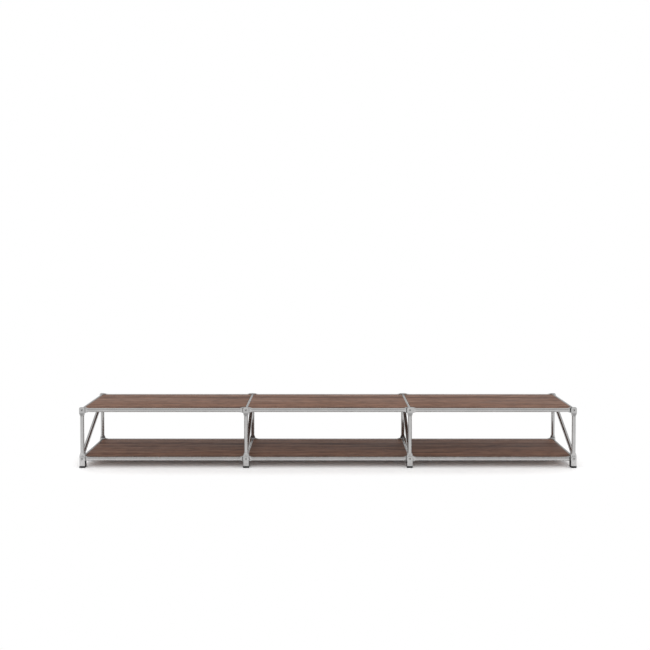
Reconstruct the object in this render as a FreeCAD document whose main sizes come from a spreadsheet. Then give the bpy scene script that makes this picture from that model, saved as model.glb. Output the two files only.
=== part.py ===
import FreeCAD, Part
import math
import os

import Sketcher

# A low, three-bay media board: a frame of round steel tube, six boards and eight feet.
# The ends of rails, uprights and braces are pressed flat and stacked on one bolt at each node.
# That bolt is screwed into the end of a cross tube.
# X runs along the board, the front faces -Y, Z is up and the floor is at zero.

SIZES = {
    "bay_pitch": 900,
    "depth_pitch": 400,
    "level_pitch": 268,
    "low_axis": 51,
    "tube_diameter": 21.3,
    "brace_diameter": 21.3,
    "tube_wall": 1.5,
    "lug_clearance": 0.6,
    "flare_length": 18,
    "flare_lead": 4,
    "lug_corner": 9,
    "brace_bend": 19,
    "bend_radius": 6,
    "bolt_diameter": 8,
    "bolt_clearance": 0.5,
    "thread_clearance": 0.1,
    "thread_reach": 16,
    "head_diameter": 14,
    "head_height": 4.4,
    "socket_width": 5,
    "socket_depth": 2.6,
    "insert_length": 24,
    "spacer_diameter": 26,
    "board_thickness": 16,
    "board_drop": 1,
    "rail_lip": 1.1,
    "cross_lip": 3.5,
    "seat_clearance": 0.3,
    "notch_clearance": 2,
    "notch_depth": 5,
    "plate_width": 29.5,
    "plate_height": 11,
    "block_width": 31,
    "block_depth": 28,
    "block_clearance": 1,
    "block_chamfer": 1.5,
}
BAYS = 3
LEVELS = ("lower", "upper")
SIDES = {"front": -1, "rear": 1}
BRACED = (("lower", "front"), ("upper", "rear"))

# Places in a node's stack, counted in lug thicknesses outwards from the rails' axis.
PLACES = {"foot": 2, "upright": 1, "outer_rail": 0, "inner_rail": -1, "brace": -2}
OUTER_FACE = 0.5
INNER_FACE = -0.5
MIDDLE = 0

X_AXIS = FreeCAD.Vector(1, 0, 0)
Z_AXIS = FreeCAD.Vector(0, 0, 1)
ORIGIN = FreeCAD.Vector(0, 0, 0)
AS_DRAWN = FreeCAD.Rotation()
TURNED = FreeCAD.Rotation(Z_AXIS, 180)
UPENDED = FreeCAD.Rotation(X_AXIS, 90)
LAID_ALONG = FreeCAD.Rotation(FreeCAD.Vector(1, 1, 1), -120)
TOWARDS_REAR = FreeCAD.Rotation(X_AXIS, -90)

document = FreeCAD.newDocument("Lowboard")
sheet = document.addObject("Spreadsheet::Sheet", "Sizes")
for row, (alias, value) in enumerate(SIZES.items(), start=1):
    sheet.set(f"A{row}", alias)
    sheet.set(f"B{row}", str(value))
    sheet.setAlias(f"B{row}", alias)
document.recompute()

nodes = []


def size(alias):
    return float(sheet.get(alias))


def layer(place, face=MIDDLE):
    """How far a place in the stack lies outwards from the rails' axis."""
    return f"({PLACES[place] + face} * 2 * Sizes.tube_wall)"


def pressed_width(diameter):
    """Width of a pressed tube: its outline keeps the round tube's girth."""
    return f"(pi * ({diameter} - 2 * Sizes.tube_wall) / 2 + 2 * Sizes.tube_wall)"


# Lengths that several pieces share, as formulas of the sheet's values.
LUG_THICKNESS = "(2 * Sizes.tube_wall)"
LUG_HALF = f"({pressed_width('Sizes.tube_diameter')} / 2)"
TUBE_RADIUS = "(Sizes.tube_diameter / 2)"
HOLE_RADIUS = "((Sizes.bolt_diameter + Sizes.bolt_clearance) / 2)"
THREAD_RADIUS = "((Sizes.bolt_diameter + Sizes.thread_clearance) / 2)"
AXIS = {"lower": "Sizes.low_axis", "upper": "(Sizes.low_axis + Sizes.level_pitch)"}
MID_HEIGHT = "(Sizes.low_axis + Sizes.level_pitch / 2)"
BRACE_RUN = f"(Sizes.depth_pitch + 2 * {layer('brace')})"
BRACE_RISE = "(Sizes.level_pitch - 2 * Sizes.brace_bend)"
BRACE_SPAN = f"sqrt({BRACE_RUN} ^ 2 + {BRACE_RISE} ^ 2)"
BRACE_LEAN = f"atan2({BRACE_RISE}; {BRACE_RUN})"


def place(piece, x, y, z, turn=AS_DRAWN):
    piece.Placement = FreeCAD.Placement(ORIGIN, turn)
    for axis, formula in (("x", x), ("y", y), ("z", z)):
        piece.setExpression(f"Placement.Base.{axis}", formula)


def frame_x(frame):
    return f"({frame} - {BAYS / 2}) * Sizes.bay_pitch"


def side_y(side, offset="0"):
    """Y of a point that lies offset outwards from the side's node axes."""
    return f"{SIDES[side]} * (Sizes.depth_pitch / 2 + {offset})"


def keep(piece, label):
    piece.Label = label
    nodes.append(piece)


def new_body(label):
    body = document.addObject("PartDesign::Body", label)
    keep(body, label)
    return body


def new_sketch(body, name, role, offset="0", turn=AS_DRAWN):
    sketch = body.newObject("Sketcher::SketchObject", name)
    planes = body.Origin.OriginFeatures
    support = next(plane for plane in planes if plane.Role == role)
    sketch.AttachmentSupport = [(support, "")]
    sketch.MapMode = "FlatFace"
    sketch.AttachmentOffset = FreeCAD.Placement(ORIGIN, turn)
    sketch.setExpression("AttachmentOffset.Base.z", offset)
    return sketch


def bind(sketch, formula, *constraint):
    number = sketch.addConstraint(Sketcher.Constraint(*constraint))
    sketch.setExpression(f"Constraints[{number}]", formula)


def pin(sketch, shape, point, across, up):
    """Hold a point of the sketch at two formulas from the sketch's origin."""
    spot = sketch.getPoint(shape, point)
    bind(sketch, across, "DistanceX", -1, 1, shape, point, spot.x)
    bind(sketch, up, "DistanceY", -1, 1, shape, point, spot.y)


def draw_polygon(sketch, corners):
    """A closed outline with every corner held by a pair of formulas."""
    count = len(corners)
    turns = [2 * math.pi * number / count for number in range(count + 1)]
    spots = [FreeCAD.Vector(math.cos(turn), math.sin(turn), 0) for turn in turns]
    lines = [Part.LineSegment(start, end) for start, end in zip(spots, spots[1:])]
    first = sketch.addGeometry(lines)[0]
    for number, (across, up) in enumerate(corners):
        following = first + (number + 1) % count
        sketch.addConstraint(Sketcher.Constraint("Coincident", first + number, 2, following, 1))
        pin(sketch, first + number, 1, across, up)


def draw_arch(sketch, centre, radius, low, high):
    """A half-round arch over two posts that stand on a straight sill."""
    guess = size("tube_diameter") / 2
    corners = (
        FreeCAD.Vector(-guess, 0, 0),
        FreeCAD.Vector(-guess, -guess, 0),
        FreeCAD.Vector(guess, -guess, 0),
        FreeCAD.Vector(guess, 0, 0),
    )
    lines = [Part.LineSegment(start, end) for start, end in zip(corners, corners[1:])]
    left, sill, right = sketch.addGeometry(lines)
    arch = sketch.addGeometry(Part.ArcOfCircle(Part.Circle(ORIGIN, Z_AXIS, guess), 0, math.pi))
    pin(sketch, left, 1, f"{centre} - {radius}", high)
    pin(sketch, left, 2, f"{centre} - {radius}", low)
    pin(sketch, right, 1, f"{centre} + {radius}", low)
    pin(sketch, right, 2, f"{centre} + {radius}", high)
    sketch.addConstraint(Sketcher.Constraint("Coincident", left, 2, sill, 1))
    sketch.addConstraint(Sketcher.Constraint("Coincident", sill, 2, right, 1))
    sketch.addConstraint(Sketcher.Constraint("Tangent", right, 2, arch, 1))
    sketch.addConstraint(Sketcher.Constraint("Coincident", arch, 2, left, 1))


def draw_tongue(sketch, half, root, tip):
    """A straight tongue along the sketch's Y with two rounded corners at its tip."""
    wide = size("tube_diameter")
    turn = size("lug_corner")
    inner = wide - turn
    spots = ((-wide, 0), (-wide, inner), (-inner, wide), (inner, wide), (wide, inner), (wide, 0))
    corners = [FreeCAD.Vector(across, along, 0) for across, along in spots]
    pairs = (corners[0:2], corners[2:4], corners[4:6], (corners[5], corners[0]))
    lines = [Part.LineSegment(start, end) for start, end in pairs]
    left, top, right, sill = sketch.addGeometry(lines)
    quarter = math.pi / 2
    near = Part.Circle(FreeCAD.Vector(inner, inner, 0), Z_AXIS, turn)
    far = Part.Circle(FreeCAD.Vector(-inner, inner, 0), Z_AXIS, turn)
    near_corner = sketch.addGeometry(Part.ArcOfCircle(near, 0, quarter))
    far_corner = sketch.addGeometry(Part.ArcOfCircle(far, quarter, 2 * quarter))
    shoulder = f"{tip} - Sizes.lug_corner"
    pin(sketch, left, 1, f"-{half}", root)
    pin(sketch, left, 2, f"-{half}", shoulder)
    pin(sketch, top, 1, f"Sizes.lug_corner - {half}", tip)
    pin(sketch, top, 2, f"{half} - Sizes.lug_corner", tip)
    pin(sketch, right, 1, half, shoulder)
    pin(sketch, right, 2, half, root)
    sketch.addConstraint(Sketcher.Constraint("Coincident", right, 2, sill, 1))
    sketch.addConstraint(Sketcher.Constraint("Coincident", sill, 2, left, 1))
    sketch.addConstraint(Sketcher.Constraint("Tangent", right, 1, near_corner, 1))
    sketch.addConstraint(Sketcher.Constraint("Coincident", near_corner, 2, top, 2))
    sketch.addConstraint(Sketcher.Constraint("Tangent", left, 2, far_corner, 2))
    sketch.addConstraint(Sketcher.Constraint("Coincident", far_corner, 1, top, 1))


def pad(body, name, sketch, length, symmetric=False):
    piece = body.newObject("PartDesign::Pad", name)
    piece.Profile = sketch
    piece.setExpression("Length", length)
    if symmetric:
        piece.SideType = "Symmetric"
    return piece


def cut_through(body, name, sketch):
    piece = body.newObject("PartDesign::Pocket", name)
    piece.Profile = sketch
    piece.Type = "ThroughAll"
    piece.SideType = "Symmetric"


def revolve(body, name, corners):
    """Turn an outline of radius and length pairs about the body's own Y."""
    sketch = new_sketch(body, f"{name}_outline", "XY_Plane")
    draw_polygon(sketch, corners)
    piece = body.newObject("PartDesign::Revolution", name)
    piece.Profile = sketch
    piece.ReferenceAxis = (sketch, ["V_Axis"])
    piece.Angle = 360


def tube_blank(body, diameter, start, finish):
    """A round tube along its own Y that swells in width towards both pressed ends."""
    swell = f"({start} + Sizes.flare_lead)"
    wide = f"{pressed_width(diameter)} / 2"
    revolve(
        body,
        "swollen_tube",
        (
            ("0", f"-{finish}"),
            (wide, f"-{finish}"),
            (f"{diameter} / 2", f"-{swell}"),
            (f"{diameter} / 2", swell),
            (wide, finish),
            ("0", finish),
        ),
    )
    cavity = body.newObject("PartDesign::SubtractiveCylinder", "cavity")
    cavity.setExpression("Radius", f"{diameter} / 2 - Sizes.tube_wall")
    cavity.setExpression("Height", f"2 * {start}")
    place(cavity, "0", f"-{start}", "0", TOWARDS_REAR)


def press_ends(body, diameter, start, finish, lifts):
    """Two flat ramps at each end lead from the round tube down to the lug's faces."""
    ramps = new_sketch(body, "ramps", "YZ_Plane")
    back = f"{start} - Sizes.flare_lead"
    for end, lift in zip((-1, 1), lifts):
        for face in (1, -1):
            foot = f"({lift} + {face} * Sizes.tube_wall)"
            crown = f"({face} * {diameter} / 2)"
            rise = f"({crown} - {foot}) * Sizes.flare_lead / Sizes.flare_length"
            clear = f"{face} * {pressed_width(diameter)}"
            corners = ((finish, foot), (back, f"{crown} + {rise}"), (back, clear), (finish, clear))
            draw_polygon(ramps, [(f"{end} * ({along})", up) for along, up in corners])
    cut_through(body, "pressed_faces", ramps)


def lug_section(body, diameter, end, finish):
    """Cross-section of the two walls pressed on each other, at the end of the ramps."""
    sketch = new_sketch(body, "lug_section", "XZ_Plane", f"{-end} * {finish}")
    half = f"{pressed_width(diameter)} / 2"
    corners = [
        (f"{across} * {half}", f"{up} * Sizes.tube_wall")
        for across, up in ((1, 1), (-1, 1), (-1, -1), (1, -1))
    ]
    draw_polygon(sketch, corners)
    return sketch


def bolt_hole(body, x, y, z, turn=AS_DRAWN):
    """A hole through one lug thickness, from a centre on the lug's lower face."""
    hole = body.newObject("PartDesign::SubtractiveCylinder", "bolt_hole")
    hole.setExpression("Radius", HOLE_RADIUS)
    hole.setExpression("Height", LUG_THICKNESS)
    place(hole, x, y, z, turn)
    return hole


def straight_tube(label, span, lifts):
    """A tube along its own Y with a pressed lug at each end, lifted along its own Z."""
    body = new_body(label)
    diameter = "Sizes.tube_diameter"
    finish = f"({span} / 2 - {LUG_HALF} - Sizes.lug_clearance)"
    start = f"({finish} - Sizes.flare_length)"
    tube_blank(body, diameter, start, finish)
    press_ends(body, diameter, start, finish, lifts)
    for end, lift in zip((-1, 1), lifts):
        low = f"{lift} - Sizes.tube_wall"
        tongue = new_sketch(body, "tongue", "XY_Plane", low, AS_DRAWN if end > 0 else TURNED)
        draw_tongue(tongue, LUG_HALF, finish, f"({span} / 2 + {LUG_HALF})")
        pad(body, "lug", tongue, LUG_THICKNESS)
        bolt_hole(body, "0", f"{end} * {span} / 2", low)
    return body


def draw_bend(sketch, end, points):
    """Line, arc and line through four points, the arc tangent to both lines."""
    span = size("depth_pitch") / 2
    turn = size("bend_radius")
    start = FreeCAD.Vector(end * (span - turn), 0, 0)
    corner = FreeCAD.Vector(end * span, 0, 0)
    rise = FreeCAD.Vector(end * (span + turn), end * turn, 0)
    tip = FreeCAD.Vector(end * (span + turn), end * 3 * turn, 0)
    centre = FreeCAD.Vector(end * span, end * turn, 0)
    first_angle = -math.pi / 2 if end > 0 else math.pi / 2
    circle = Part.Circle(centre, Z_AXIS, turn)
    lower = sketch.addGeometry(Part.LineSegment(start, corner))
    arc = sketch.addGeometry(Part.ArcOfCircle(circle, first_angle, first_angle + math.pi / 2))
    upper = sketch.addGeometry(Part.LineSegment(rise, tip))
    spots = ((lower, 1), (lower, 2), (upper, 1), (upper, 2))
    for (line, point), (across, up) in zip(spots, points):
        pin(sketch, line, point, f"{end} * ({across})", f"{end} * ({up})")
    sketch.addConstraint(Sketcher.Constraint("Tangent", lower, 2, arc, 1))
    sketch.addConstraint(Sketcher.Constraint("Coincident", arc, 2, upper, 1))


def bent_lug(body, end, diameter, finish):
    """A brace end: the pressed tube is bent so that its lug stands upright at the node."""
    along = f"({BRACE_RISE} / {BRACE_SPAN})"
    aside = f"({BRACE_RUN} / {BRACE_SPAN})"
    reach = f"(Sizes.bend_radius * ({BRACE_SPAN} - {BRACE_RISE}) / {BRACE_RUN})"
    section = lug_section(body, diameter, end, finish)
    path = new_sketch(body, "bend", "YZ_Plane")
    points = (
        (finish, "0"),
        (f"{BRACE_SPAN} / 2 - {reach}", "0"),
        (f"{BRACE_SPAN} / 2 + {reach} * {along}", f"{reach} * {aside}"),
        (f"{BRACE_SPAN} / 2 + Sizes.brace_bend * {along}", f"Sizes.brace_bend * {aside}"),
    )
    draw_bend(path, end, points)
    pipe = body.newObject("PartDesign::AdditivePipe", "bent_flat")
    pipe.Profile = section
    pipe.Spine = (path, ["Edge1", "Edge2", "Edge3"])
    y = f"{end} * ({BRACE_SPAN} / 2 + Sizes.brace_bend * {along} + Sizes.tube_wall * {aside})"
    z = f"{end} * (Sizes.brace_bend * {aside} - Sizes.tube_wall * {along})"
    turn = FreeCAD.Rotation(X_AXIS * end, 1)
    half_disc = body.newObject("PartDesign::AdditiveCylinder", "half_disc")
    half_disc.Angle = 180
    half_disc.setExpression("Radius", f"{pressed_width(diameter)} / 2")
    half_disc.setExpression("Height", LUG_THICKNESS)
    place(half_disc, "0", y, z, turn)
    for piece in (half_disc, bolt_hole(body, "0", y, z, turn)):
        piece.setExpression("Placement.Rotation.Angle", f"90 deg - {end} * {BRACE_LEAN}")


def make_braces():
    """Slanting tubes from the lower front to the upper rear node of each cross frame."""
    diameter = "Sizes.brace_diameter"
    finish = f"({BRACE_SPAN} / 2 - Sizes.bend_radius)"
    start = f"({finish} - Sizes.flare_length)"
    for frame in range(BAYS + 1):
        body = new_body(f"brace_{frame + 1}")
        tube_blank(body, diameter, start, finish)
        press_ends(body, diameter, start, finish, ("0", "0"))
        for end in (-1, 1):
            bent_lug(body, end, diameter, finish)
        place(body, frame_x(frame), "0", MID_HEIGHT, FreeCAD.Rotation(X_AXIS, 1))
        body.setExpression("Placement.Rotation.Angle", BRACE_LEAN)


def make_rails():
    """Neighbouring rails lap at a node: one end lies outside, the other end inside."""
    lifts = (f"-{layer('outer_rail')}", f"-{layer('inner_rail')}")
    for level in LEVELS:
        for bay in range(BAYS):
            for side in SIDES:
                rail = straight_tube(f"rail_{level}_{side}_{bay + 1}", "Sizes.bay_pitch", lifts)
                turn = LAID_ALONG if side == "front" else TURNED * LAID_ALONG
                place(rail, frame_x(bay + 0.5), side_y(side), AXIS[level], turn)


def make_uprights():
    lifts = (layer("upright"), layer("upright"))
    for frame in range(BAYS + 1):
        for side in SIDES:
            upright = straight_tube(f"upright_{side}_{frame + 1}", "Sizes.level_pitch", lifts)
            turn = UPENDED if side == "front" else TURNED * UPENDED
            place(upright, frame_x(frame), side_y(side), MID_HEIGHT, turn)


def make_cross_tubes():
    """Tubes with a threaded insert welded into each end, longer where no brace is stacked."""
    braced_end = layer("brace", INNER_FACE)
    free_end = layer("inner_rail", INNER_FACE)
    half = f"(Sizes.depth_pitch + {braced_end} + {free_end}) / 2"
    shift = f"({free_end} - {braced_end}) / 2"
    inner_radius = f"{TUBE_RADIUS} - Sizes.tube_wall"
    inner_half = f"({half} - Sizes.insert_length)"
    for level in LEVELS:
        for frame in range(BAYS + 1):
            body = new_body(f"cross_tube_{level}_{frame + 1}")
            revolve(
                body,
                "tube_with_inserts",
                (
                    (TUBE_RADIUS, f"-{half}"),
                    (TUBE_RADIUS, half),
                    (THREAD_RADIUS, half),
                    (THREAD_RADIUS, inner_half),
                    (inner_radius, inner_half),
                    (inner_radius, f"-{inner_half}"),
                    (THREAD_RADIUS, f"-{inner_half}"),
                    (THREAD_RADIUS, f"-{half}"),
                ),
            )
            towards = "" if (level, "front") in BRACED else "-"
            place(body, frame_x(frame), f"{towards}{shift}", AXIS[level])


def make_boards():
    """Boards that lie on the shoulders of their four tubes, with a notch round each node."""
    low = f"{TUBE_RADIUS} - Sizes.board_drop - Sizes.board_thickness"
    edge_x = f"(Sizes.bay_pitch / 2 - {TUBE_RADIUS} + Sizes.cross_lip)"
    edge_y = f"(Sizes.depth_pitch / 2 - {TUBE_RADIUS} + Sizes.rail_lip)"
    notch_x = f"(Sizes.bay_pitch / 2 - {LUG_HALF} - Sizes.notch_clearance)"
    notch_y = f"(Sizes.depth_pitch / 2 + {layer('brace', INNER_FACE)} - Sizes.notch_depth)"
    seat_radius = f"({TUBE_RADIUS} + Sizes.seat_clearance)"
    seats = {"rail_seats": ("YZ_Plane", "depth_pitch"), "cross_seats": ("XZ_Plane", "bay_pitch")}
    corners = []
    for across, up in ((1, 1), (-1, 1), (-1, -1), (1, -1)):
        steps = [(edge_x, notch_y), (notch_x, notch_y), (notch_x, edge_y)]
        if across * up < 0:
            steps.reverse()
        corners += [(f"{across} * {x}", f"{up} * {y}") for x, y in steps]
    for level in LEVELS:
        for bay in range(BAYS):
            body = new_body(f"board_{level}_{bay + 1}")
            outline = new_sketch(body, "outline", "XY_Plane", low)
            draw_polygon(outline, corners)
            pad(body, "panel", outline, "Sizes.board_thickness")
            for name, (role, pitch) in seats.items():
                sketch = new_sketch(body, f"{name}_outline", role)
                for end in (-1, 1):
                    draw_arch(sketch, f"{end} * Sizes.{pitch} / 2", seat_radius, low, "0")
                cut_through(body, name, sketch)
            place(body, frame_x(bay + 0.5), "0", AXIS[level])


def cylinder(name, radius, height, z):
    piece = document.addObject("Part::Cylinder", name)
    piece.setExpression("Radius", radius)
    piece.setExpression("Height", height)
    piece.setExpression("Placement.Base.z", z)
    return piece


def join(kind, name, base, tool):
    piece = document.addObject(kind, name)
    piece.Base = base
    piece.Tool = tool
    return piece


def make_spacer():
    """Washer as thick as a lug, in the place of the rail that an end node lacks."""
    low = f"-{LUG_THICKNESS} / 2"
    disc = cylinder("disc", "Sizes.spacer_diameter / 2", LUG_THICKNESS, low)
    hole = cylinder("hole", HOLE_RADIUS, LUG_THICKNESS, low)
    return join("Part::Cut", "spacer", disc, hole)


def make_bolt(grip):
    """Button head on the outside, shank through the stack and into the threaded insert."""
    length = f"({grip} + Sizes.thread_reach)"
    shank = cylinder("shank", "Sizes.bolt_diameter / 2", length, f"-{length}")
    dome = "((Sizes.head_diameter ^ 2 / 4 + Sizes.head_height ^ 2) / (2 * Sizes.head_height))"
    head = document.addObject("Part::Sphere", "head")
    head.setExpression("Radius", dome)
    head.setExpression("Angle1", f"asin(({dome} - Sizes.head_height) / {dome})")
    head.setExpression("Placement.Base.z", f"Sizes.head_height - {dome}")
    socket = document.addObject("Part::Prism", "socket")
    socket.Polygon = 6
    socket.setExpression("Circumradius", "Sizes.socket_width / sqrt(3)")
    socket.setExpression("Height", "Sizes.socket_depth")
    socket.setExpression("Placement.Base.z", "Sizes.head_height - Sizes.socket_depth")
    return join("Part::Cut", "bolt", join("Part::Fuse", "forging", head, shank), socket)


def make_group(label, pieces):
    group = document.addObject("Part::Compound", label)
    group.Links = pieces
    keep(group, label)


def at_node(piece, level, frame, side, offset):
    """Set a piece's own +Z outwards at a node, offset outwards from the node's axes."""
    turn = FreeCAD.Rotation(X_AXIS, -90 * SIDES[side])
    place(piece, frame_x(frame), side_y(side, offset), AXIS[level], turn)
    return piece


def make_fasteners():
    outermost = {"lower": layer("foot", OUTER_FACE), "upper": layer("upright", OUTER_FACE)}
    rail_spacers = []
    for level, outer in outermost.items():
        grip = f"({outer} - {layer('brace', INNER_FACE)})"
        bolts = []
        for frame in range(BAYS + 1):
            for side in SIDES:
                bolts.append(at_node(make_bolt(grip), level, frame, side, outer))
                if frame in (0, BAYS):
                    empty = "inner_rail" if (frame == 0) == (side == "front") else "outer_rail"
                    rail_spacers.append(at_node(make_spacer(), level, frame, side, layer(empty)))
        make_group(f"{level}_node_bolts", bolts)
    make_group("rail_spacers", rail_spacers)


def make_foot_plate(label):
    """Steel strap with a round top about the node bolt."""
    body = new_body(label)
    strap = new_sketch(body, "strap", "XZ_Plane", layer("foot", INNER_FACE))
    draw_arch(strap, "0", "Sizes.plate_width / 2", "Sizes.plate_height", "Sizes.low_axis")
    pad(body, "plate", strap, LUG_THICKNESS)
    bolt_hole(body, "0", f"-{layer('foot', OUTER_FACE)}", "Sizes.low_axis", TOWARDS_REAR)
    return body


def make_foot_block(label):
    """Black block behind the strap, with a toe that carries the strap's lower end."""
    body = new_body(label)
    toe = f"-{layer('foot', OUTER_FACE)}"
    front = f"-{layer('foot', INNER_FACE)}"
    back = f"({front} + Sizes.block_depth)"
    top = f"(Sizes.low_axis - {LUG_HALF} - Sizes.block_clearance)"
    side = new_sketch(body, "side", "YZ_Plane")
    draw_polygon(
        side,
        (
            (toe, "0"),
            (back, "0"),
            (back, top),
            (front, top),
            (front, "Sizes.plate_height"),
            (toe, "Sizes.plate_height"),
        ),
    )
    block = pad(body, "block", side, "Sizes.block_width", symmetric=True)
    document.recompute()
    sole = [
        f"Edge{number}"
        for number, edge in enumerate(block.Shape.Edges, start=1)
        if edge.BoundBox.ZMax < size("block_chamfer")
    ]
    chamfer = body.newObject("PartDesign::Chamfer", "sole_chamfer")
    chamfer.Base = (block, sole)
    chamfer.setExpression("Size", "Sizes.block_chamfer")
    return body


def make_feet():
    for frame in range(BAYS + 1):
        for side in SIDES:
            turn = AS_DRAWN if side == "front" else TURNED
            for piece in (
                make_foot_plate(f"foot_plate_{side}_{frame + 1}"),
                make_foot_block(f"foot_block_{side}_{frame + 1}"),
            ):
                place(piece, frame_x(frame), side_y(side), "0", turn)


make_rails()
make_uprights()
make_cross_tubes()
make_braces()
make_boards()
make_fasteners()
make_feet()
document.recompute()

for piece in document.Objects:
    if "Invalid" in piece.State or "Error" in piece.State:
        raise RuntimeError(f"{piece.Label} did not build: {piece.State}")
for piece in nodes:
    if piece.Shape.isNull() or not piece.Shape.isValid():
        raise RuntimeError(f"{piece.Label} has no valid shape")
os.makedirs("parts", exist_ok=True)
for piece in nodes:
    piece.Shape.exportStep(f"parts/{piece.Label}.step")
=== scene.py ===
import math

import bmesh
import bpy
from mathutils import Matrix, Vector


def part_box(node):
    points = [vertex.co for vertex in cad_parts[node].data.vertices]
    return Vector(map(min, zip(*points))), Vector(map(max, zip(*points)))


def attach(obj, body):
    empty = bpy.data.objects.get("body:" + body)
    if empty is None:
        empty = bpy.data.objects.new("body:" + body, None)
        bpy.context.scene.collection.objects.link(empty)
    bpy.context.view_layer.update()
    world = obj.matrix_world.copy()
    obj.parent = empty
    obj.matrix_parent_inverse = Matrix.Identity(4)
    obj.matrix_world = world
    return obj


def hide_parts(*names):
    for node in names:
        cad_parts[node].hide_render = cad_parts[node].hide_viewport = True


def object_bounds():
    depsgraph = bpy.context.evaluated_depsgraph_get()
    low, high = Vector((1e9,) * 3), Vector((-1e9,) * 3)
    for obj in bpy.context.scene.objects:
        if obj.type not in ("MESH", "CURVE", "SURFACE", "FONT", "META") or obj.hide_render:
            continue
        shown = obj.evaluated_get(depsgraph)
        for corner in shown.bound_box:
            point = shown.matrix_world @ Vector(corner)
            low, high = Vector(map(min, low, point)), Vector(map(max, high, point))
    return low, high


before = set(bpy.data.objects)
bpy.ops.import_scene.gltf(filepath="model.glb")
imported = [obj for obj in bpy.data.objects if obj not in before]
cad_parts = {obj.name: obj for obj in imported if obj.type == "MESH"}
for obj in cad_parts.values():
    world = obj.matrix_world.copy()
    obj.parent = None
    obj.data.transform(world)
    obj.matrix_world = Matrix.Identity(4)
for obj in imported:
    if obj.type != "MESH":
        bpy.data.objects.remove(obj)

# A long, low media board: satin steel tubes with pressed, bolted ends, walnut boards, black feet.
# Lengths are in metres, X runs along the board, the front faces -Y and the floor is at zero.

cad_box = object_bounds()

BAYS = 3
BAY_PLACES = ("left", "middle", "right")
FRAMES = BAYS + 1
LEVELS = ("lower", "upper")
SIDES = {"front": -1, "rear": 1}

# The tubes' radius, axes and pitches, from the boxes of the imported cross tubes.
LOW_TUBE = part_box("cross_tube_lower_1")
HIGH_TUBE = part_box("cross_tube_upper_1")
LAST_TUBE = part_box(f"cross_tube_lower_{FRAMES}")
TUBE_RADIUS = (LOW_TUBE[1].x - LOW_TUBE[0].x) / 2
FIRST_X = (LOW_TUBE[0].x + LOW_TUBE[1].x) / 2
LAST_X = (LAST_TUBE[0].x + LAST_TUBE[1].x) / 2
BAY_PITCH = (LAST_X - FIRST_X) / BAYS
AXIS = {
    "lower": (LOW_TUBE[0].z + LOW_TUBE[1].z) / 2,
    "upper": (HIGH_TUBE[0].z + HIGH_TUBE[1].z) / 2,
}
LEVEL_PITCH = AXIS["upper"] - AXIS["lower"]

# Sizes that those boxes don't give.
HALF_DEPTH = 0.2
BRACE_RADIUS = 0.01065
WALL = 0.0015
LUG_THICKNESS = 2 * WALL
LUG_CLEARANCE = 0.0006
LUG_CORNER = 0.009
FLARE_LENGTH = 0.018
BRACE_BEND = 0.019
BEND_RADIUS = 0.006
HEAD_RADIUS = 0.007
HEAD_HEIGHT = 0.0044
HEAD_RIM = 0.0007
SHANK_RADIUS = 0.004
THREAD_REACH = 0.016
SOCKET_RING = 0.0031
SOCKET_LIP = 0.0002
SOCKET_HALF_FLAT = 0.0025
SOCKET_DEPTH = 0.0026

# Places in a node's stack, counted in lug thicknesses outwards from the rails' axis.
PLACES = {"foot": 2, "upright": 1, "outer_rail": 0, "inner_rail": -1, "brace": -2}
OUTER_FACE = 0.5
INNER_FACE = -0.5

RING_POINTS = 48
TIP_STEPS = 9
FLARE_STEPS = 12
BEND_STEPS = 6
DOME_STEPS = 8
SMOOTH_LIMIT = math.radians(34)
FLAT_LIMIT = math.radians(1)
SPUN_MERGE = 1e-7
NODE_MERGE = 1e-6

# Rounded edges: a width on tubes, a width and a number of segments on the rest.
LUG_EDGE = 0.0003
CROSS_EDGE = 0.0006
BOARD_EDGE = (0.0005, 2)
PLATE_EDGE = (0.0004, 2)
BLOCK_EDGE = (0.0006, 3)
SPACER_EDGE = (0.0003, 2)

# Each steel has a dark and a light tone, and a least and a greatest roughness.
TUBE_TONES = ((0.25, (0.440, 0.437, 0.434)), (0.75, (0.566, 0.562, 0.558)))
# The plate steel is the tube steel made lighter: painted reflection of the bright front on the flat
# plates.
PLATE_REFLECTION_TONES = ((0.25, (0.459, 0.456, 0.453)), (0.75, (0.589, 0.586, 0.583)))
BOLT_TONES = ((0.25, (0.42, 0.415, 0.41)), (0.75, (0.56, 0.555, 0.55)))
# The socket's walls and floor are painted near black: painted shade in the recess.
SOCKET_SHADE_TONES = ((0.25, (0.015, 0.015, 0.016)), (0.75, (0.04, 0.04, 0.042)))
SATIN = (0.22, 0.32)
TURNED_SATIN = (0.28, 0.40)
DULL = (0.5, 0.7)

# How fine the steel's lines are along X, Y and Z.
LINES_ALONG = (6, 900, 900)
LINES_UPRIGHT = (900, 900, 6)
LINES_ACROSS = (900, 6, 900)
LINES_SLANTING = (900, 60, 60)
LINES_TURNED = (300, 300, 300)
UNSTRETCHED = (1, 1, 1)

# Each board is cut from its own place in the veneer.
GRAIN = "grain"
LEAF_SHIFT = 0.31
LEAF_STEP = 0.004
FIRST_LEAF = {"lower": 3.09, "upper": 1.48}

WALNUT_TONES = (
    (0.36, (0.106, 0.052, 0.035)),
    (0.44, (0.199, 0.106, 0.072)),
    (0.50, (0.268, 0.143, 0.096)),
    (0.56, (0.251, 0.146, 0.105)),
    (0.66, (0.378, 0.234, 0.178)),
)
FLECK_SHADES = ((0.36, (0.80, 0.80, 0.80)), (0.64, (1.20, 1.20, 1.20)))
FIBRE_SHADES = ((0.32, (0.74, 0.72, 0.70)), (0.66, (1.02, 1.02, 1.02)))
PORE_SHADES = ((0.33, (0.52, 0.47, 0.44)), (0.42, (1.0, 1.0, 1.0)))
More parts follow.
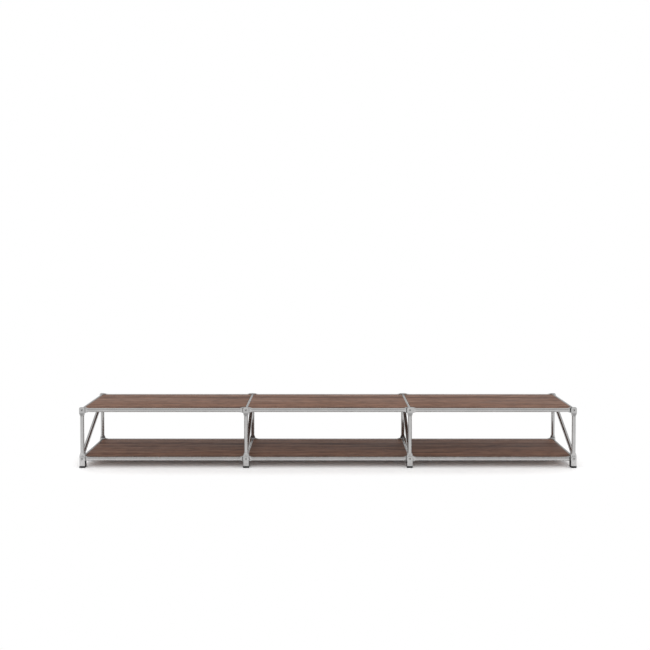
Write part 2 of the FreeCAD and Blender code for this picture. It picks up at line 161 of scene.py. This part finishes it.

# Dark and light streaks, the same on every board, from the front edge to the rear; the darkening at
# the front edge is painted shade where the board meets the front rail.
STREAKS_AND_EDGE_SHADE = (
    (0.06, (0.82, 0.81, 0.80)),
    (0.14, (0.94, 0.93, 0.92)),
    (0.18, (1.06, 1.04, 1.02)),
    (0.22, (0.96, 0.95, 0.94)),
    (0.285, (1.04, 1.02, 1.00)),
    (0.335, (0.92, 0.91, 0.90)),
    (0.38, (0.98, 0.97, 0.96)),
    (0.445, (0.94, 0.93, 0.92)),
    (0.49, (0.99, 0.98, 0.97)),
    (0.525, (0.97, 0.96, 0.95)),
    (0.555, (0.80, 0.77, 0.75)),
    (0.585, (0.97, 0.96, 0.95)),
    (0.70, (0.98, 0.97, 0.96)),
    (0.735, (0.58, 0.45, 0.38)),
    (0.77, (0.98, 0.97, 0.96)),
)

BLACK_SHADES = ((0.3, (0.014, 0.014, 0.015)), (0.7, (0.026, 0.026, 0.027)))
FLOOR_SHADES = ((0.3, (0.92, 0.92, 0.92)), (0.7, (0.94, 0.94, 0.94)))
FLOOR_SIZE = 60
FLOOR_WHITE = (1.25, 1.25, 1.25, 1)
FLOOR_GLOW = 0.02

# Distances from the board between which its shadow fades to plain white.
SHADOW_FADE = (0.08, 0.2)

# The mirrored room's brightness from the horizon to straight overhead.
WALL_SHADES = (
    (0.0, (1.0, 1.0, 1.0)),
    (0.3, (0.5, 0.5, 0.5)),
    (0.6, (0.5, 0.5, 0.5)),
    (0.95, (1.0, 1.0, 1.0)),
)
WHITE = (1, 1, 1, 1)
FULL_STRENGTH = 1.0
ROOM_STRENGTH = 0.86
LAMP_STRENGTH = 0.62
LAMP_SPREAD = math.radians(40)
LAMP_TILT = math.radians(52)

IMAGE_WIDTH = 650
FOCAL_PIXELS = 797.23
SHIFT_PIXELS = -63.96
SENSOR_WIDTH = 36
FAR_LIMIT = 200
EYE_SPOT = (-0.0164, -4.5539, 1.2513)
EYE_DIP = math.radians(1.5)

# A tube is drawn along its own Y, then laid along X or stood upright, and half turned at the rear.
WIDTHWAYS = Vector((1, 0, 0))
RAIL_TURN = Matrix(((0, 1, 0), (0, 0, 1), (1, 0, 0))).to_4x4()
UPRIGHT_TURN = Matrix.Rotation(math.radians(90), 4, "X")
HALF_TURN = Matrix.Rotation(math.pi, 4, "Z")


def frame_x(number):
    return FIRST_X + number * BAY_PITCH


def layer(place, face=0):
    """How far a place in a node's stack lies outwards from the rails' axis."""
    return (PLACES[place] + face) * LUG_THICKNESS


def finished(builder, name, body, material, nodes):
    """Make the built mesh a piece that stands for its nodes and moves with its body."""
    mesh = bpy.data.meshes.new(name)
    builder.to_mesh(mesh)
    builder.free()
    mesh.materials.append(material)
    mesh.shade_smooth()
    mesh.set_sharp_from_angle(angle=SMOOTH_LIMIT)
    piece = bpy.data.objects.new(name, mesh)
    bpy.context.scene.collection.objects.link(piece)
    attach(piece, body)
    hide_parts(*nodes)
    return piece


def lug_half_width(radius):
    """Half the width of a pressed tube: its outline keeps the round tube's girth."""
    return math.pi * (radius - WALL) / 2 + WALL


def lug_profile(radius, flat_length, corner, lift):
    """Stations from the lug's tip to the round tube: inset from the bolt, half sizes, lift."""
    wide = lug_half_width(radius)
    straight = wide - corner
    first_turn = math.acos(max(WALL - straight, 0) / corner)
    stations = []
    for step in range(TIP_STEPS + 1):
        angle = first_turn * (1 - step / TIP_STEPS)
        inset = -straight - corner * math.sin(angle)
        stations.append((inset, straight + corner * math.cos(angle), WALL, lift))
    tip_inset, tip_width = stations[0][:2]
    stations[0] = (tip_inset + LUG_EDGE, tip_width, WALL, lift)
    stations.insert(0, (tip_inset, tip_width - LUG_EDGE, WALL - LUG_EDGE, lift))
    for step in range(FLARE_STEPS + 1):
        run = step / FLARE_STEPS
        half_height = WALL + (radius - WALL) * run
        half_width = half_height + math.pi * (radius - half_height) / 2
        inset = flat_length + FLARE_LENGTH * run
        stations.append((inset, half_width, half_height, lift * (1 - run)))
    return stations


def add_ring(builder, centre, thickness_axis, half_width, half_height):
    """A loop with two half-round sides and, where it is wider than high, two flats."""
    turn = Matrix.Rotation(math.pi / RING_POINTS, 4, "Z")
    made = bmesh.ops.create_circle(builder, segments=RING_POINTS, radius=1, matrix=turn)
    for vert in made["verts"]:
        across = math.copysign(half_width - half_height, vert.co.x) + half_height * vert.co.x
        up = half_height * vert.co.y
        vert.co = centre + WIDTHWAYS * across + thickness_axis * up
    return list({edge for vert in made["verts"] for edge in vert.link_edges})


def tube_through(stations):
    """A closed skin through loops given as centre, thickness axis, half width and half height."""
    builder = bmesh.new()
    rings = [add_ring(builder, *station) for station in stations]
    for first, second in zip(rings, rings[1:]):
        bmesh.ops.bridge_loops(builder, edges=first + second)
    for ring in (rings[0], rings[-1]):
        bmesh.ops.contextual_create(builder, geom=ring)
    bmesh.ops.recalc_face_normals(builder, faces=builder.faces)
    return builder


def straight_tube(span, lifts):
    """A tube along its own Y between two bolts, its lugs lifted along its own Z."""
    up = Vector((0, 0, 1))
    flat_length = lug_half_width(TUBE_RADIUS) + LUG_CLEARANCE
    ends = [lug_profile(TUBE_RADIUS, flat_length, LUG_CORNER, lift) for lift in lifts]
    stations = []
    for inset, half_width, half_height, lift in ends[0]:
        stations.append((Vector((0, inset - span / 2, lift)), up, half_width, half_height))
    for inset, half_width, half_height, lift in reversed(ends[1]):
        stations.append((Vector((0, span / 2 - inset, lift)), up, half_width, half_height))
    return tube_through(stations)


def fit_tube(builder, node, side, turn, x, z, steel):
    """Set a tube drawn along its own Y on the frame's front, or half turned on its rear."""
    if side == "rear":
        turn = HALF_TURN @ turn
    spot = Vector((x, SIDES[side] * HALF_DEPTH, z))
    builder.transform(Matrix.Translation(spot) @ turn)
    finished(builder, f"pressed_{node}", "frame", steel, [node])


def make_rails(steel):
    lifts = (-layer("outer_rail"), -layer("inner_rail"))
    for level in LEVELS:
        for bay in range(BAYS):
            for side in SIDES:
                builder = straight_tube(BAY_PITCH, lifts)
                node = f"rail_{level}_{side}_{bay + 1}"
                fit_tube(builder, node, side, RAIL_TURN, frame_x(bay + 0.5), AXIS[level], steel)


def make_uprights(steel):
    lifts = (layer("upright"), layer("upright"))
    middle = (AXIS["lower"] + AXIS["upper"]) / 2
    for number in range(FRAMES):
        for side in SIDES:
            builder = straight_tube(LEVEL_PITCH, lifts)
            node = f"upright_{side}_{number + 1}"
            fit_tube(builder, node, side, UPRIGHT_TURN, frame_x(number), middle, steel)


class BracePath:
    """Upright leg, bend, slanting run, bend and upright leg between two bolts in the YZ plane."""

    def __init__(self):
        run = 2 * (HALF_DEPTH + layer("brace"))
        rise = LEVEL_PITCH - 2 * BRACE_BEND
        self.turn = math.pi / 2 - math.atan2(rise, run)
        reach = BEND_RADIUS * math.tan(self.turn / 2)
        self.leg = BRACE_BEND - reach
        self.arc = BEND_RADIUS * self.turn
        slant = math.hypot(run, rise) - 2 * reach
        self.total = 2 * self.leg + 2 * self.arc + slant
        self.flat = self.leg + self.arc + BEND_RADIUS - reach
        self.start = Vector((0, -run / 2, AXIS["lower"]))

    def heading(self, distance):
        """Angle of the path above the horizontal, the same read from either end."""
        near = min(distance, self.total - distance)
        bent = min(max((near - self.leg) / self.arc, 0), 1)
        return math.pi / 2 - self.turn * bent

    def spots(self, distances):
        """Centres and thickness axes at rising distances from the lower bolt, below it if negative."""
        centre = self.start.copy()
        reached = 0
        for distance in distances:
            angle = self.heading((reached + distance) / 2)
            centre = centre + (distance - reached) * Vector((0, math.cos(angle), math.sin(angle)))
            reached = distance
            facing = self.heading(distance) + math.pi / 2
            yield centre, Vector((0, math.cos(facing), math.sin(facing)))


def make_braces(steel):
    path = BracePath()
    wide = lug_half_width(BRACE_RADIUS)
    end = [station[:3] for station in lug_profile(BRACE_RADIUS, path.flat, wide, 0)]
    tip = [section for section in end if section[0] < 0]
    flare = [section for section in end if section[0] > path.leg]
    turns = [path.leg + path.arc * step / BEND_STEPS for step in range(BEND_STEPS + 1)]
    near = tip + [(distance, wide, WALL) for distance in (0, *turns)] + flare
    far = [(path.total - inset, *half_sizes) for inset, *half_sizes in reversed(near)]
    sections = near + far
    spots = path.spots([section[0] for section in sections])
    stations = [(*spot, *section[1:]) for spot, section in zip(spots, sections)]
    for number in range(FRAMES):
        builder = tube_through(stations)
        builder.transform(Matrix.Translation(Vector((frame_x(number), 0, 0))))
        node = f"brace_{number + 1}"
        finished(builder, f"pressed_{node}", "frame", steel, [node])


def spun(outline):
    """Turn an outline of radius and height pairs about its own Z."""
    builder = bmesh.new()
    verts = [builder.verts.new((radius, 0, height)) for radius, height in outline]
    edges = [builder.edges.new(pair) for pair in zip(verts, verts[1:])]
    bmesh.ops.spin(
        builder,
        geom=verts + edges,
        cent=(0, 0, 0),
        axis=(0, 0, 1),
        angle=2 * math.pi,
        steps=RING_POINTS,
        use_merge=True,
    )
    bmesh.ops.remove_doubles(builder, verts=builder.verts, dist=SPUN_MERGE)
    bmesh.ops.recalc_face_normals(builder, faces=builder.faces)
    return builder


def make_cross_tubes(steel):
    for level in LEVELS:
        for number in range(FRAMES):
            node = f"cross_tube_{level}_{number + 1}"
            low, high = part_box(node)
            half = (high.y - low.y) / 2
            outline = (
                (0, -half),
                (TUBE_RADIUS - CROSS_EDGE, -half),
                (TUBE_RADIUS, CROSS_EDGE - half),
                (TUBE_RADIUS, half - CROSS_EDGE),
                (TUBE_RADIUS - CROSS_EDGE, half),
                (0, half),
            )
            builder = spun(outline)
            middle = (low + high) / 2
            builder.transform(Matrix.Translation(middle) @ UPRIGHT_TURN)
            finished(builder, f"welded_{node}", "frame", steel, [node])


def softened(node, edge_size):
    """A merged copy of a node with its hard edges rounded."""
    width, segments = edge_size
    builder = bmesh.new()
    builder.from_mesh(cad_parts[node].data)
    bmesh.ops.remove_doubles(builder, verts=builder.verts, dist=NODE_MERGE)
    bmesh.ops.dissolve_limit(
        builder, angle_limit=FLAT_LIMIT, verts=builder.verts, edges=builder.edges
    )
    hard = [
        edge
        for edge in builder.edges
        if len(edge.link_faces) == 2 and edge.calc_face_angle() > SMOOTH_LIMIT
    ]
    bmesh.ops.bevel(
        builder,
        geom=hard,
        offset=width,
        offset_type="OFFSET",
        segments=segments,
        profile=0.5,
        affect="EDGES",
        clamp_overlap=True,
        material=-1,
    )
    return builder


def lay_grain(board, middle, level, sheet):
    """Give a board its own place in the veneer: X along the grain, Y across, Z from leaf to leaf."""
    grain = board.data.attributes.new(GRAIN, "FLOAT_VECTOR", "POINT")
    height = FIRST_LEAF[level] + LEAF_STEP * sheet - middle.z
    start = Vector((LEAF_SHIFT * sheet - middle.x, -middle.y, height))
    for vert, spot in zip(board.data.vertices, grain.data):
        spot.vector = vert.co + start


def make_boards(veneer):
    for storey, level in enumerate(LEVELS):
        for bay, place in enumerate(BAY_PLACES):
            node = f"board_{level}_{bay + 1}"
            body = f"upper_board_{place}" if level == "upper" else "frame"
            builder = softened(node, BOARD_EDGE)
            board = finished(builder, f"veneered_{node}", body, veneer, [node])
            low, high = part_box(node)
            lay_grain(board, (low + high) / 2, level, storey * BAYS + bay)


def make_feet(steel, black):
    for number in range(FRAMES):
        for side in SIDES:
            plate = f"foot_plate_{side}_{number + 1}"
            strap = softened(plate, PLATE_EDGE)
            finished(strap, f"strap_{plate}", "frame", steel, [plate])
            block = f"foot_block_{side}_{number + 1}"
            moulding = softened(block, BLOCK_EDGE)
            finished(moulding, f"moulded_{block}", "frame", black, [block])


def of_kind(kind, items):
    return [item for item in items if isinstance(item, kind)]


def bolt(length):
    """Button head with a hexagon socket, its own +Z pointing out of the stack."""
    outline = [
        (0, -length),
        (SHANK_RADIUS, -length),
        (SHANK_RADIUS, 0),
        (HEAD_RADIUS, 0),
        (HEAD_RADIUS, HEAD_RIM),
    ]
    crown = HEAD_HEIGHT - HEAD_RIM
    dome_radius = (HEAD_RADIUS**2 + crown**2) / (2 * crown)
    first = math.acos(HEAD_RADIUS / dome_radius)
    last = math.acos(SOCKET_RING / dome_radius)
    for step in range(1, DOME_STEPS + 1):
        angle = first + (last - first) * step / DOME_STEPS
        height = HEAD_HEIGHT - dome_radius + dome_radius * math.sin(angle)
        outline.append((dome_radius * math.cos(angle), height))
    lip = outline[-1][1] - SOCKET_LIP
    builder = spun(outline)
    ring = [edge for edge in builder.edges if edge.is_boundary]
    sixth = math.pi / 3
    # Slot 1, on the socket's walls and floor, holds the painted shade of the recess.
    for height, steel_or_shade_slot in ((lip, 0), (HEAD_HEIGHT - SOCKET_DEPTH, 1)):
        made = bmesh.ops.extrude_edge_only(builder, edges=ring)["geom"]
        for wall in of_kind(bmesh.types.BMFace, made):
            wall.material_index = steel_or_shade_slot
        for vert in of_kind(bmesh.types.BMVert, made):
            angle = math.atan2(vert.co.y, vert.co.x)
            reach = SOCKET_HALF_FLAT / math.cos(angle % sixth - sixth / 2)
            vert.co = Vector((reach * math.cos(angle), reach * math.sin(angle), height))
        ring = of_kind(bmesh.types.BMEdge, made)
    for bottom in bmesh.ops.contextual_create(builder, geom=ring)["faces"]:
        bottom.material_index = 1
    bmesh.ops.recalc_face_normals(builder, faces=builder.faces)
    return builder


def make_bolts(steel, socket_shade):
    outermost = {"lower": layer("foot", OUTER_FACE), "upper": layer("upright", OUTER_FACE)}
    for level, outer in outermost.items():
        together = bmesh.new()
        grip = outer - layer("brace", INNER_FACE)
        for number in range(FRAMES):
            for outward in SIDES.values():
                builder = bolt(grip + THREAD_REACH)
                spot = Vector((frame_x(number), outward * (HALF_DEPTH + outer), AXIS[level]))
                turn = Matrix.Rotation(-outward * math.pi / 2, 4, "X")
                builder.transform(Matrix.Translation(spot) @ turn)
                single = bpy.data.meshes.new("bolt")
                builder.to_mesh(single)
                builder.free()
                together.from_mesh(single)
                bpy.data.meshes.remove(single)
        node = f"{level}_node_bolts"
        bolts = finished(together, f"socketed_{node}", "frame", steel, [node])
        bolts.data.materials.append(socket_shade)


def make_spacers(steel):
    node = "rail_spacers"
    builder = softened(node, SPACER_EDGE)
    finished(builder, f"turned_{node}", "frame", steel, [node])


def colour_ramp(tree, factor, stops):
    made = tree.nodes.new("ShaderNodeValToRGB")
    elements = made.color_ramp.elements
    while len(elements) < len(stops):
        elements.new(0.5)
    for element, (position, colour) in zip(elements, stops):
        element.position = position
        element.color = (*colour, 1)
    tree.links.new(factor, made.inputs["Fac"])
    return made.outputs["Color"]


class Finish:
    """A material's node tree with short ways to add and join its nodes."""

    def __init__(self, name):
        self.material = bpy.data.materials.new(name)
        self.material.use_nodes = True
        self.tree = self.material.node_tree
        self.shader = self.tree.nodes["Principled BSDF"]

    def node(self, kind, **settings):
        made = self.tree.nodes.new(kind)
        for name, value in settings.items():
            setattr(made, name, value)
        return made

    def link(self, source, target):
        self.tree.links.new(source, target)

    def stretched(self, vector, scale):
        mapping = self.node("ShaderNodeMapping")
        mapping.inputs["Scale"].default_value = scale
        self.link(vector, mapping.inputs["Vector"])
        return mapping.outputs["Vector"]

    def coordinates(self, scale=UNSTRETCHED):
        """Object coordinates, stretched."""
        return self.stretched(self.node("ShaderNodeTexCoord").outputs["Object"], scale)

    def wavering(self, vector, scale, reach):
        """The vector pushed about by a slow noise."""
        drift = self.node("ShaderNodeTexNoise")
        drift.inputs["Scale"].default_value = scale
        self.link(vector, drift.inputs["Vector"])
        pushed = self.node("ShaderNodeVectorMath", operation="MULTIPLY_ADD")
        pushed.inputs[1].default_value = reach
        self.link(drift.outputs["Color"], pushed.inputs[0])
        self.link(vector, pushed.inputs[2])
        return pushed.outputs["Vector"]

    def noise(self, vector, scale=1.0, detail=3.0, roughness=0.5):
        made = self.node("ShaderNodeTexNoise")
        made.inputs["Scale"].default_value = scale
        made.inputs["Detail"].default_value = detail
        made.inputs["Roughness"].default_value = roughness
        self.link(vector, made.inputs["Vector"])
        return made.outputs["Fac"]

    def drawn_out(self, grain, along, across, detail=3.0, roughness=0.6):
        """Noise drawn out along the grain: how fine it is along it and across it."""
        vector = self.stretched(grain, (along, across, across))
        return self.noise(vector, detail=detail, roughness=roughness)

    def ramp(self, factor, stops):
        return colour_ramp(self.tree, factor, stops)

    def between(self, factor, low, high, start=0.3, end=0.7):
        """Low where the factor is at its start, high at its end, even between."""
        made = self.node("ShaderNodeMapRange")
        made.inputs["From Min"].default_value = start
        made.inputs["From Max"].default_value = end
        made.inputs["To Min"].default_value = low
        made.inputs["To Max"].default_value = high
        self.link(factor, made.inputs["Value"])
        return made.outputs["Result"]

    def mix(self, first, second, share=1.0, blend="MIX"):
        made = self.node("ShaderNodeMix", data_type="RGBA", blend_type=blend)
        made.inputs["Factor"].default_value = share
        self.link(first, made.inputs["A"])
        self.link(second, made.inputs["B"])
        return made.outputs["Result"]

    def distance_from(self, box):
        """0 within a little of the box's outline on the floor, rising to 1 farther off."""
        spot = self.node("ShaderNodeTexCoord").outputs["Object"]
        for operation, amount in (("ABSOLUTE", None), ("SUBTRACT", box[1]), ("MAXIMUM", (0, 0, 0))):
            made = self.node("ShaderNodeVectorMath", operation=operation)
            self.link(spot, made.inputs[0])
            if amount:
                made.inputs[1].default_value = amount
            spot = made.outputs["Vector"]
        length = self.node("ShaderNodeVectorMath", operation="LENGTH")
        self.link(spot, length.inputs[0])
        return self.between(length.outputs["Value"], 0.0, 1.0, *SHADOW_FADE)

    def glow(self, strength):
        made = self.node("ShaderNodeEmission")
        made.inputs["Color"].default_value = WHITE
        made.inputs["Strength"].default_value = strength
        return made.outputs["Emission"]

    def blend(self, factor, first, second):
        """One shader turning into another."""
        made = self.node("ShaderNodeMixShader")
        self.link(factor, made.inputs["Fac"])
        self.link(first, made.inputs[1])
        self.link(second, made.inputs[2])
        return made.outputs["Shader"]

    def bump(self, height, strength, distance):
        made = self.node("ShaderNodeBump")
        made.inputs["Strength"].default_value = strength
        made.inputs["Distance"].default_value = distance
        self.link(height, made.inputs["Height"])
        self.link(made.outputs["Normal"], self.shader.inputs["Normal"])

    def feed(self, **sources):
        """Join outputs to the shader's sockets, named with underscores for spaces."""
        for name, source in sources.items():
            self.link(source, self.shader.inputs[name.replace("_", " ")])

    def set(self, **values):
        """Set the shader's own sockets, named with underscores for spaces."""
        for name, value in values.items():
            self.shader.inputs[name.replace("_", " ")].default_value = value


def satin_steel(name, tones, stretch, roughness):
    """Drawn steel: fine lines along the piece, a soft cloudy sheen across it."""
    finish = Finish(name)
    lines = finish.noise(finish.coordinates(stretch), detail=4.0, roughness=0.6)
    clouds = finish.noise(finish.coordinates(), scale=14.0)
    tone = finish.mix(lines, clouds, share=0.5)
    finish.feed(Base_Color=finish.ramp(tone, tones), Roughness=finish.between(tone, *roughness))
    finish.bump(lines, strength=0.05, distance=0.0004)
    finish.set(Metallic=1.0)
    return finish.material


def walnut_veneer():
    """Straight-grained veneer: stripes, flecks, fine fibres and short dark pores along X, with painted
    shade along the front edge.
    """
    finish = Finish("walnut_veneer")
    leaf = finish.node("ShaderNodeAttribute", attribute_name=GRAIN).outputs["Vector"]
    grain = finish.wavering(leaf, scale=1.6, reach=(0, 0.008, 0))
    broad = finish.drawn_out(grain, along=0.7, across=14, detail=2.0, roughness=0.5)
    narrow = finish.drawn_out(grain, along=1.8, across=58)
    figure = finish.drawn_out(grain, along=12, across=40)
    fibres = finish.drawn_out(grain, along=5, across=260)
    pores = finish.drawn_out(grain, along=26, across=700, detail=2.0, roughness=0.5)
    split = finish.node("ShaderNodeSeparateXYZ")
    finish.link(grain, split.inputs["Vector"])
    depth = finish.between(split.outputs["Y"], 0.0, 1.0, start=-HALF_DEPTH, end=HALF_DEPTH)
    colour = finish.ramp(finish.mix(broad, narrow, share=0.6), WALNUT_TONES)
    for factor, shades in (
        (depth, STREAKS_AND_EDGE_SHADE),
        (figure, FLECK_SHADES),
        (fibres, FIBRE_SHADES),
        (pores, PORE_SHADES),
    ):
        colour = finish.mix(colour, finish.ramp(factor, shades), blend="MULTIPLY")
    finish.feed(Base_Color=colour, Roughness=finish.between(fibres, low=0.52, high=0.66))
    finish.bump(fibres, strength=0.12, distance=0.0002)
    finish.set(Specular_IOR_Level=0.17)
    return finish.material


def black_moulding():
    finish = Finish("black_moulding")
    pebble = finish.noise(finish.coordinates(), scale=2400.0, detail=2.0)
    smudge = finish.noise(finish.coordinates(), scale=60.0)
    colour = finish.ramp(smudge, BLACK_SHADES)
    finish.feed(Base_Color=colour, Roughness=finish.between(smudge, low=0.48, high=0.62))
    finish.bump(pebble, strength=0.25, distance=0.00015)
    finish.set(Specular_IOR_Level=0.3)
    return finish.material


def seen_directly(tree):
    """1 for rays from the eye and for those mirrored or passed on to it, 0 for the rest."""
    rays = tree.nodes.new("ShaderNodeLightPath")
    seen = rays.outputs["Is Camera Ray"]
    for other in ("Is Glossy Ray", "Is Transmission Ray"):
        either = tree.nodes.new("ShaderNodeMath")
        either.operation = "MAXIMUM"
        tree.links.new(seen, either.inputs[0])
        tree.links.new(rays.outputs[other], either.inputs[1])
        seen = either.outputs["Value"]
    return seen


def pale_floor():
    """Matt white ground: the board's soft shadow close by, plain white farther off."""
    finish = Finish("pale_floor")
    speckle = finish.noise(finish.coordinates(), scale=3.0, detail=2.0)
    finish.feed(Base_Color=finish.ramp(speckle, FLOOR_SHADES))
    finish.set(Roughness=0.9, Specular_IOR_Level=0.0)
    shaded = finish.node("ShaderNodeBsdfDiffuse")
    shaded.inputs["Color"].default_value = FLOOR_WHITE
    near = finish.node("ShaderNodeAddShader")
    finish.link(shaded.outputs["BSDF"], near.inputs[0])
    finish.link(finish.glow(FLOOR_GLOW), near.inputs[1])
    apart = finish.distance_from(cad_box)
    seen = finish.blend(apart, near.outputs["Shader"], finish.glow(FULL_STRENGTH))
    lit = finish.blend(seen_directly(finish.tree), finish.shader.outputs["BSDF"], seen)
    finish.link(lit, finish.tree.nodes["Material Output"].inputs["Surface"])
    return finish.material


def make_stage():
    builder = bmesh.new()
    bmesh.ops.create_grid(builder, x_segments=1, y_segments=1, size=FLOOR_SIZE)
    mesh = bpy.data.meshes.new("floor")
    builder.to_mesh(mesh)
    builder.free()
    mesh.materials.append(pale_floor())
    floor = bpy.data.objects.new("floor", mesh)
    bpy.context.scene.collection.objects.link(floor)


def add_lamp():
    """One broad lamp from the front and above, which the steel doesn't mirror."""
    lamp = bpy.data.lights.new("front_lamp", "SUN")
    lamp.energy = LAMP_STRENGTH
    lamp.angle = LAMP_SPREAD
    sun = bpy.data.objects.new("front_lamp", lamp)
    sun.rotation_euler = (LAMP_TILT, 0, 0)
    sun.visible_glossy = False
    bpy.context.scene.collection.objects.link(sun)


def mirrored_room(tree):
    """What the steel mirrors: white low down and overhead, dimmer walls between."""
    split = tree.nodes.new("ShaderNodeSeparateXYZ")
    direction = tree.nodes.new("ShaderNodeTexCoord").outputs["Generated"]
    tree.links.new(direction, split.inputs["Vector"])
    mirrored = tree.nodes.new("ShaderNodeBackground")
    mirrored.inputs["Strength"].default_value = FULL_STRENGTH
    shade = colour_ramp(tree, split.outputs["Z"], WALL_SHADES)
    tree.links.new(shade, mirrored.inputs["Color"])
    return mirrored.outputs["Background"]


def light_room():
    """A bright even room lights the board; the eye sees plain white, the steel mirrors walls."""
    world = bpy.data.worlds.new("white_room")
    bpy.context.scene.world = world
    world.use_nodes = True
    tree = world.node_tree
    room = tree.nodes["Background"]
    white = tree.nodes.new("ShaderNodeBackground")
    for background, strength in ((room, ROOM_STRENGTH), (white, FULL_STRENGTH)):
        background.inputs["Color"].default_value = WHITE
        background.inputs["Strength"].default_value = strength
    rays = tree.nodes.new("ShaderNodeLightPath")
    surroundings = room.outputs["Background"]
    for kind, other in (
        ("Is Camera Ray", white.outputs["Background"]),
        ("Is Transmission Ray", white.outputs["Background"]),
        ("Is Glossy Ray", mirrored_room(tree)),
    ):
        choose = tree.nodes.new("ShaderNodeMixShader")
        tree.links.new(rays.outputs[kind], choose.inputs["Fac"])
        tree.links.new(surroundings, choose.inputs[1])
        tree.links.new(other, choose.inputs[2])
        surroundings = choose.outputs["Shader"]
    tree.links.new(surroundings, tree.nodes["World Output"].inputs["Surface"])


def set_camera():
    """Straight in front and above, tipped a little down, with the picture shifted downwards."""
    camera = bpy.data.cameras.new("eye")
    camera.sensor_width = SENSOR_WIDTH
    camera.lens = FOCAL_PIXELS / IMAGE_WIDTH * SENSOR_WIDTH
    camera.shift_y = SHIFT_PIXELS / IMAGE_WIDTH
    camera.clip_end = FAR_LIMIT
    eye = bpy.data.objects.new("eye", camera)
    eye.location = EYE_SPOT
    eye.rotation_euler = (math.pi / 2 - EYE_DIP, 0, 0)
    bpy.context.scene.collection.objects.link(eye)
    bpy.context.scene.camera = eye


bpy.context.scene.view_settings.view_transform = "Standard"
make_rails(satin_steel("tube_steel_along", TUBE_TONES, LINES_ALONG, SATIN))
make_uprights(satin_steel("tube_steel_upright", TUBE_TONES, LINES_UPRIGHT, SATIN))
make_cross_tubes(satin_steel("tube_steel_across", TUBE_TONES, LINES_ACROSS, SATIN))
make_braces(satin_steel("tube_steel_slanting", TUBE_TONES, LINES_SLANTING, SATIN))
make_boards(walnut_veneer())
make_feet(satin_steel("plate_steel", PLATE_REFLECTION_TONES, LINES_UPRIGHT, SATIN), black_moulding())
bolt_steel = satin_steel("bolt_steel", BOLT_TONES, LINES_TURNED, TURNED_SATIN)
make_bolts(bolt_steel, satin_steel("socket_shade", SOCKET_SHADE_TONES, LINES_TURNED, DULL))
make_spacers(bolt_steel)
make_stage()
light_room()
add_lamp()
set_camera()
